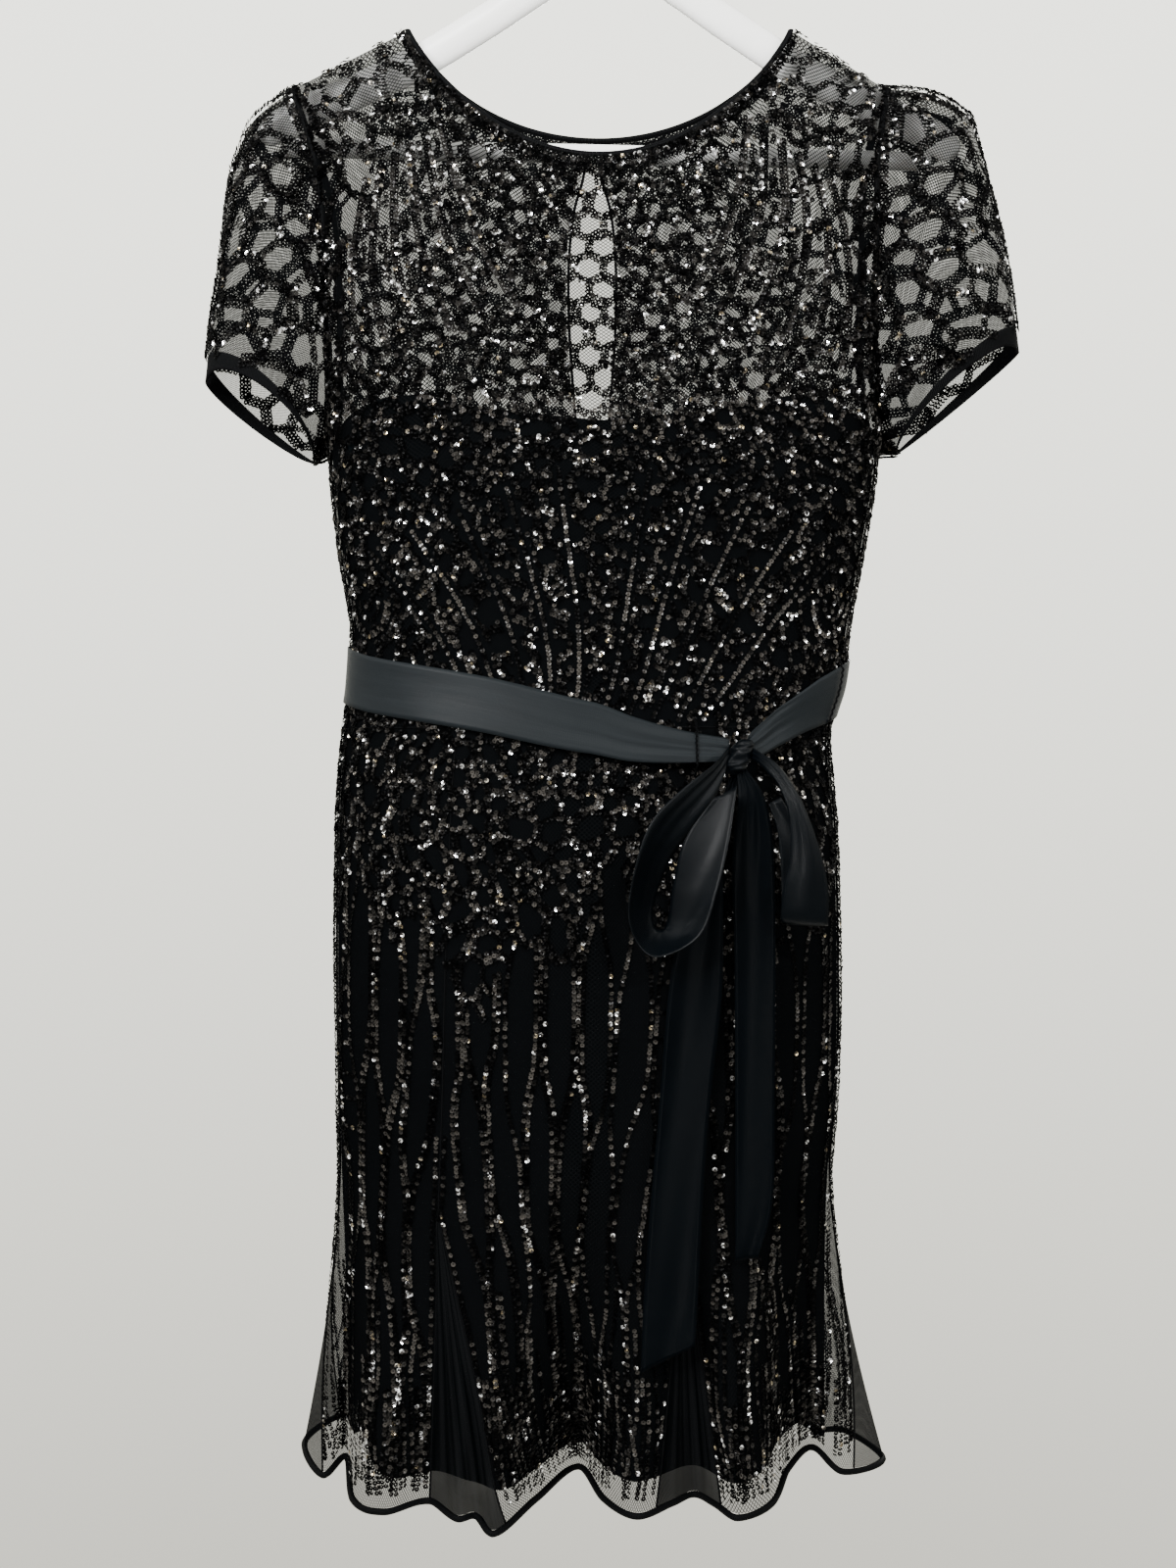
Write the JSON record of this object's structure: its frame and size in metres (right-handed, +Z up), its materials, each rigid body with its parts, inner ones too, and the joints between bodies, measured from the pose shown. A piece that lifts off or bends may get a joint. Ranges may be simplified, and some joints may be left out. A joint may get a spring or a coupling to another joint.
{
  "type": "sequinned net dress on a hanger",
  "caption": "Knee-length black net dress worked with sequins, with short sleeves, godets at the hem and a satin ribbon belt tied in a bow, hanging on a plain white hanger.",
  "frame": {"origin": "inside top of the hanger's hook, where it rests on a rail", "axes": "+Z up, -Y towards the front of the dress, +X to the right as the front is seen"},
  "size_m": [0.5367, 0.2038, 1.0467],
  "materials": {
    "sequin_net": "sheer net with glossy cup sequins",
    "plain_net": "sheer matte net",
    "lining": "matte jersey",
    "satin": "satin sheen",
    "binding": "matte folded binding and rolled edge",
    "button": "gloss",
    "hanger_white": "gloss"
  },
  "bodies": {
    "root": {"bodice_front": "sequin_net", "bodice_back_left": "sequin_net", "bodice_back_right": "sequin_net", "sleeve_left": "sequin_net", "sleeve_right": "sequin_net", "skirt_centre_front": "sequin_net", "skirt_side_front_left": "sequin_net", "skirt_side_front_right": "sequin_net", "skirt_centre_back": "sequin_net", "skirt_side_back_left": "sequin_net", "skirt_side_back_right": "sequin_net", "godet_left": "plain_net", "godet_front_left": "plain_net", "godet_front_right": "plain_net", "godet_right": "plain_net", "godet_back_right": "plain_net", "godet_back_left": "plain_net", "lining_bodice_front": "lining", "lining_bodice_back": "lining", "lining_skirt_front": "lining", "lining_skirt_back": "lining", "neck_binding": "binding", "slit_binding_left": "binding", "slit_binding_right": "binding", "cuff_left": "binding", "cuff_right": "binding", "hem_roll": "binding", "belt_carrier_front": "binding", "belt_carrier_side": "binding", "button": "button", "belt_wrap": "satin", "bow_knot": "satin", "bow_loop_left": "satin", "bow_loop_right": "satin", "bow_tail_left": "satin", "bow_tail_right": "satin", "hanger_arms": "hanger_white", "hanger_bar": "hanger_white", "hanger_hook": "hanger_white"}
  },
  "joints": []
}
